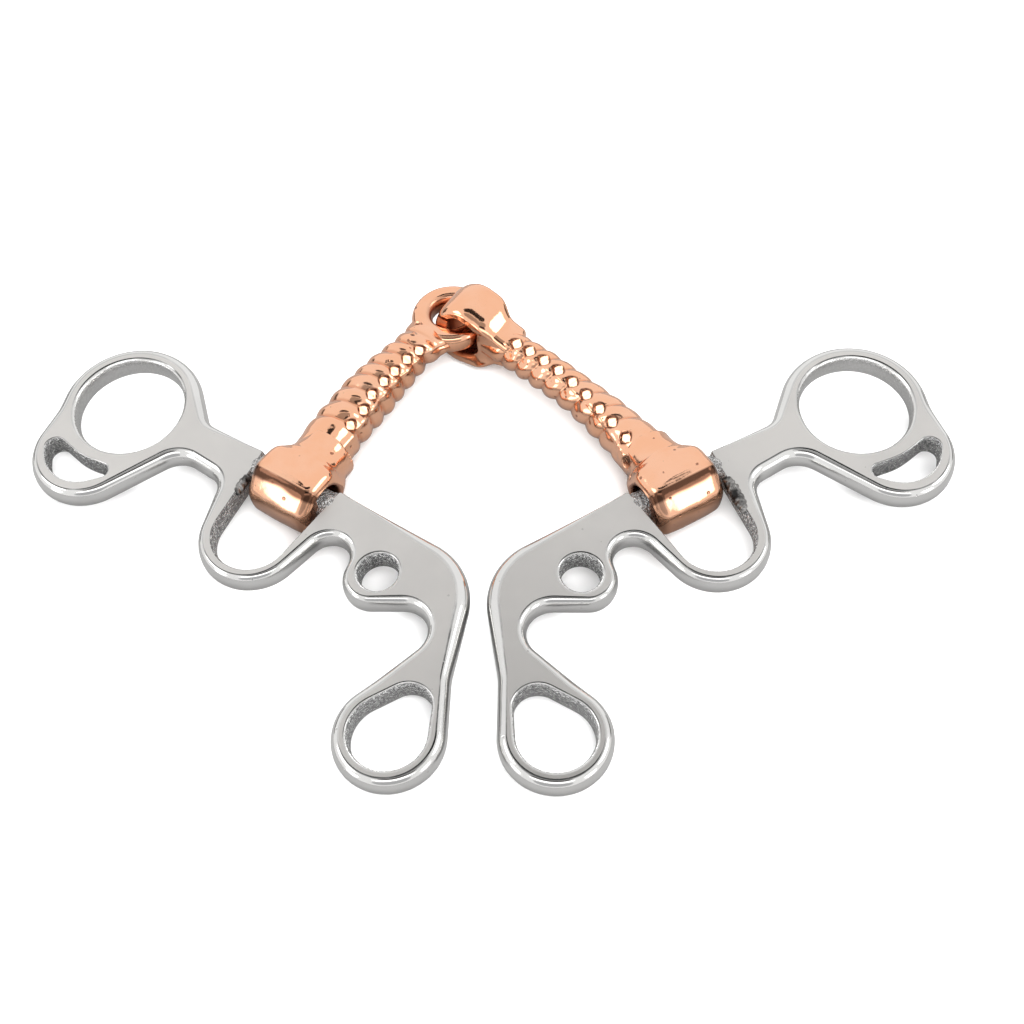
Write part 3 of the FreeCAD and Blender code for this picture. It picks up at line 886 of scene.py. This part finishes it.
def cast_copper(name):
    """Cannons: polished cast copper, uneven under the polish, browned in the grooves and bores, with
    painted shade round the pockets' rims and, on the butts, tarnish mixed with painted dark reflection
    and painted shade.
    """
    material, tree, shader, place = new_material(name)
    groove, pocket, bore = mask_of(tree, "groove"), mask_of(tree, "pocket"), mask_of(tree, "bore")
    edge, tarnish = mask_of(tree, "edge"), mask_of(tree, "tarnish")
    fine = group(tree, GRAIN, Vector=place, Scale=1500.0, Detail=4.0)
    slow = group(tree, CLOUD, Vector=place, Scale=120.0)
    soft = group(tree, GRAIN, Vector=place, Scale=330.0, Detail=2.0)
    holes = group(tree, PINHOLES, Vector=place, Scale=420.0, Size=0.15, Share=0.6)
    colour = mixed(tree, slow, (0.94, 0.50, 0.31), (0.95, 0.54, 0.36))
    darkening = maths(tree, "MULTIPLY", groove, 0.55)
    colour = mixed(tree, darkening, colour, (0.62, 0.24, 0.12))
    # Butts: tarnish with painted dark reflection and painted shade underneath, and darkened pits
    colour = mixed(tree, maths(tree, "MULTIPLY", tarnish, 0.95), colour, (0.085, 0.035, 0.02))
    # Painted shade round each pocket's rim
    colour = mixed(tree, maths(tree, "MULTIPLY", edge, 0.9), colour, (0.20, 0.07, 0.035))
    colour = mixed(tree, maths(tree, "MULTIPLY", bore, 0.75), colour, (0.36, 0.17, 0.11))
    colour = mixed(tree, maths(tree, "MULTIPLY", holes, 0.75), colour, (0.24, 0.09, 0.05))
    tree.links.new(colour, shader.inputs["Base Color"])
    rough = ranged(tree, slow, 0.0, 1.0, 0.08, 0.15)
    rough = maths(tree, "ADD", rough, maths(tree, "MULTIPLY", bore, 0.15))
    tree.links.new(rough, shader.inputs["Roughness"])
    shader.inputs["Metallic"].default_value = 1.0
    smooth_floor = maths(tree, "SUBTRACT", 1.0, pocket)
    bumped(tree, shader, [
        (maths(tree, "MULTIPLY", soft, smooth_floor), 0.13, 0.0004),
        (fine, 0.08, 0.00006),
        (maths(tree, "MULTIPLY", holes, -1.0), 0.7, 0.00015),
    ])
    return material


# ---- the pieces ----------------------------------------------------------------------------------
STEEL = cast_steel("polished_cast_steel")
WELD = weld_metal("weld_metal")
COPPER = cast_copper("polished_cast_copper")


def finish_piece(piece, material, body, node):
    """Material, body and the CAD node that the piece stands for."""
    piece.data.materials.append(material)
    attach(piece, body)
    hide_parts(node)


own_cheek = cheek_shells()
for word, side in (("left", -1), ("right", 1)):
    shells = [lay_cheek(shell, side) for shell in own_cheek]
    cheek = make_piece(word + "_cheek_casting", shells)
    finish_piece(cheek, STEEL, word + "_cheek", word + "_cheek")
finish_piece(
    make_piece("left_weld_run", [lay_cheek(bead_shell(5, 3.2, 8.6, (7.35, 7.1), 1.15), -1)], 80.0),
    WELD, "left_cheek", "left_weld_bead")
finish_piece(
    make_piece("right_weld_run", [lay_cheek(bead_shell(8, 3.6, 13.2, (7.4, 6.3), 1.4), 1)], 80.0),
    WELD, "right_cheek", "right_weld_bead")

turn = math.radians(CHEEK_TURN)
left_start = np.array([
    -POST_SPREAD / 2.0 - BUTT_AT * math.cos(turn),
    POST_BACK + BUTT_AT * math.sin(turn),
    POST_HEIGHT,
])
right_start = left_start * np.array([-1.0, 1.0, 1.0])
left_heading = 90.0 - CHEEK_TURN
right_heading = 135.7028

SHOULDER_L = ([0.0, 3.0, 6.0, 9.0, 12.4], [8.0, 7.8, 7.1, 6.5, 6.3], [7.1, 7.1, 6.95, 6.65, 6.3])
SHOULDER_R = ([0.0, 3.0, 6.0, 9.0, 12.4], [8.0, 7.8, 7.0, 6.3, 6.1], [7.1, 7.1, 6.9, 6.5, 6.1])
# (angle that the facet faces, its distance from the bore's axis)
FACETS = [
    (86.0, 7.55), (141.0, 7.6), (188.0, 7.75), (232.0, 7.75), (276.0, 7.75), (322.0, 7.7), (30.0, 7.6),
]

# casting pits large enough to see: (centre, way it faces, radius)
LEFT_PITS = [
    ((-17.4, 52.0, 10.2), (-0.14, 0.40, 0.91), 0.6),
    ((-18.0, 46.9, 12.1), (0.14, 0.35, 0.93), 0.5),
]
RIGHT_PITS = [
    ((30.4, 11.8, 9.9), (-0.74, -0.58, 0.34), 1.5),
    ((31.3, 7.6, 10.4), (-0.92, 0.09, 0.37), 0.8),
]


def pitted(shell, pits):
    """Shell with each pit sunk against the way it faces, by 0.4 of its radius, and darkened in the
    tarnish and painted shade mask.
    """
    darkening = shell.masks.get("tarnish", np.zeros(len(shell.points)))
    for centre, facing, radius in pits:
        away = np.linalg.norm(shell.points - np.array(centre), axis=1) / radius
        mask = 1.0 - smooth(0.7, 1.1, away)
        shell.points = shell.points - (0.4 * radius * mask)[:, None] * np.array(facing)
        darkening = np.maximum(darkening, mask)
    shell.masks["tarnish"] = darkening
    return shell


for word, cannon, shoulder, seed, end_shell, pits, start, heading in (
    ("left", LEFT, SHOULDER_L, 31, eye_shell, LEFT_PITS, left_start, left_heading),
    ("right", RIGHT, SHOULDER_R, 32, link_shell, RIGHT_PITS, right_start, right_heading),
):
    parts = [
        butt_laid(butt_shell(shoulder, FACETS, seed), cannon.lean, start, heading),
        lay_cannon(bar_shell(cannon), start, heading),
        lay_cannon(end_shell(cannon), start, heading),
    ]
    casting = make_piece(word + "_cannon_casting", [pitted(part, pits) for part in parts])
    finish_piece(casting, COPPER, word + "_cannon", word + "_cannon")


# ---- floor, light and camera -------------------------------------------------------------------
def floor_material():
    """Pale matt floor; what metal sees of it is a little darker."""
    material = bpy.data.materials.new("studio_floor")
    material.use_nodes = True
    tree = material.node_tree
    tree.nodes.clear()
    path = tree.nodes.new("ShaderNodeLightPath")
    colour = mixed(tree, path.outputs["Is Glossy Ray"], (0.93, 0.93, 0.93), (0.24, 0.24, 0.24))
    matt = put(tree, "ShaderNodeBsdfDiffuse", None, Color=colour)
    output = tree.nodes.new("ShaderNodeOutputMaterial")
    tree.links.new(matt.outputs[0], output.inputs[0])
    return material


def card_material(name, colour, strength):
    """Card seen only in reflections."""
    material = bpy.data.materials.new(name)
    material.use_nodes = True
    tree = material.node_tree
    tree.nodes.clear()
    glow = put(tree, "ShaderNodeEmission", None, Color=(*colour, 1.0), Strength=strength)
    output = tree.nodes.new("ShaderNodeOutputMaterial")
    tree.links.new(glow.outputs[0], output.inputs[0])
    return material


def facing_bit(azimuth, elevation, distance):
    """Place at a compass direction and a height in degrees and a distance in metres, with its Z
    axis turned away from the bit. Azimuth 0 is behind the bit (+Y), 180 is in front of it."""
    a, e = math.radians(azimuth), math.radians(elevation)
    way = Vector((math.sin(a) * math.cos(e), math.cos(a) * math.cos(e), math.sin(e)))
    turned = way.to_track_quat("Z", "Y").to_matrix().to_4x4()
    return Matrix.Translation(way * distance) @ turned


def card(name, azimuth, elevation, distance, wide, high, colour, strength):
    """Card with round corners (a superellipse) that faces the bit, wide by high in metres."""
    mesh = bpy.data.meshes.new(name)
    t = np.linspace(0.0, 2.0 * np.pi, 40, endpoint=False)
    across = wide / 2 * np.sign(np.cos(t)) * np.abs(np.cos(t)) ** 0.6
    up = high / 2 * np.sign(np.sin(t)) * np.abs(np.sin(t)) ** 0.6
    mesh.from_pydata(np.stack([across, up, 0.0 * t], -1).tolist(), [], [tuple(range(40))])
    mesh.transform(facing_bit(azimuth, elevation, distance))
    mesh.materials.append(card_material(name, colour, strength))
    thing = bpy.data.objects.new(name, mesh)
    bpy.context.scene.collection.objects.link(thing)
    thing.visible_camera = False
    thing.visible_diffuse = False
    thing.visible_shadow = False
    thing.visible_transmission = False


floor_mesh = bpy.data.meshes.new("floor")
floor_mesh.from_pydata([(-6, -6, 0), (6, -6, 0), (6, 6, 0), (-6, 6, 0)], [], [(0, 1, 2, 3)])
floor_mesh.materials.append(floor_material())
floor = bpy.data.objects.new("floor", floor_mesh)
bpy.context.scene.collection.objects.link(floor)

card("dark_strip_behind", 0, 78, 1.70, 1.0, 0.46, (0.035, 0.035, 0.035), 1.0)
card("grey_overhead", 180, 81, 1.75, 1.4, 0.62, (0.40, 0.40, 0.40), 1.0)
card("dark_strip_front", 180, 66, 1.70, 1.1, 0.36, (0.045, 0.04, 0.04), 1.0)
card("front_softbox", 180, 49, 1.60, 1.5, 0.34, (1, 1, 1), 2.4)
card("front_grey", 180, 22, 1.90, 1.9, 1.0, (0.50, 0.50, 0.51), 1.0)
card("left_softbox", 266, 44, 1.35, 0.62, 0.52, (1, 1, 1), 3.4)
card("right_softbox", 86, 38, 1.35, 0.62, 0.52, (1, 1, 1), 3.4)
card("left_patch", 239, 17, 1.50, 0.46, 0.56, (1, 1, 1), 3.2)
card("right_patch", 124, 20, 1.50, 0.46, 0.56, (1, 1, 1), 3.2)
card("dark_left_low", 303, 6, 1.50, 0.62, 0.30, (0.10, 0.10, 0.10), 1.0)
card("dark_right_low", 57, 6, 1.50, 0.62, 0.30, (0.10, 0.10, 0.10), 1.0)


def area_light(name, azimuth, elevation, distance, size, power):
    """Square area light facing the bit, unseen in reflections."""
    data = bpy.data.lights.new(name, "AREA")
    data.size = size
    data.energy = power
    light = bpy.data.objects.new(name, data)
    light.matrix_world = facing_bit(azimuth, elevation, distance)
    bpy.context.scene.collection.objects.link(light)
    light.visible_glossy = False


area_light("key_light", 160, 55, 1.6, 1.2, 33.0)
area_light("back_light", 10, 60, 1.6, 1.2, 26.0)

world = bpy.data.worlds.new("studio_white")
world.use_nodes = True
world.node_tree.nodes["Background"].inputs[0].default_value = (1.0, 1.0, 1.0, 1.0)
world.node_tree.nodes["Background"].inputs[1].default_value = 1.0
bpy.context.scene.world = world
bpy.context.scene.view_settings.view_transform = "Standard"

camera_data = bpy.data.cameras.new("camera")
camera_data.lens = 65.6
camera_data.sensor_width = 36.0
camera_data.clip_start = 0.01
camera_data.clip_end = 50.0
camera = bpy.data.objects.new("camera", camera_data)
camera.matrix_world = Matrix((
    (0.99824, -0.00176, 0.05927, 0.02963),
    (0.03683, 0.80174, -0.59653, -0.23681),
    (-0.04647, 0.59766, 0.80040, 0.32559),
    (0.0, 0.0, 0.0, 1.0),
))
bpy.context.scene.collection.objects.link(camera)
bpy.context.scene.camera = camera
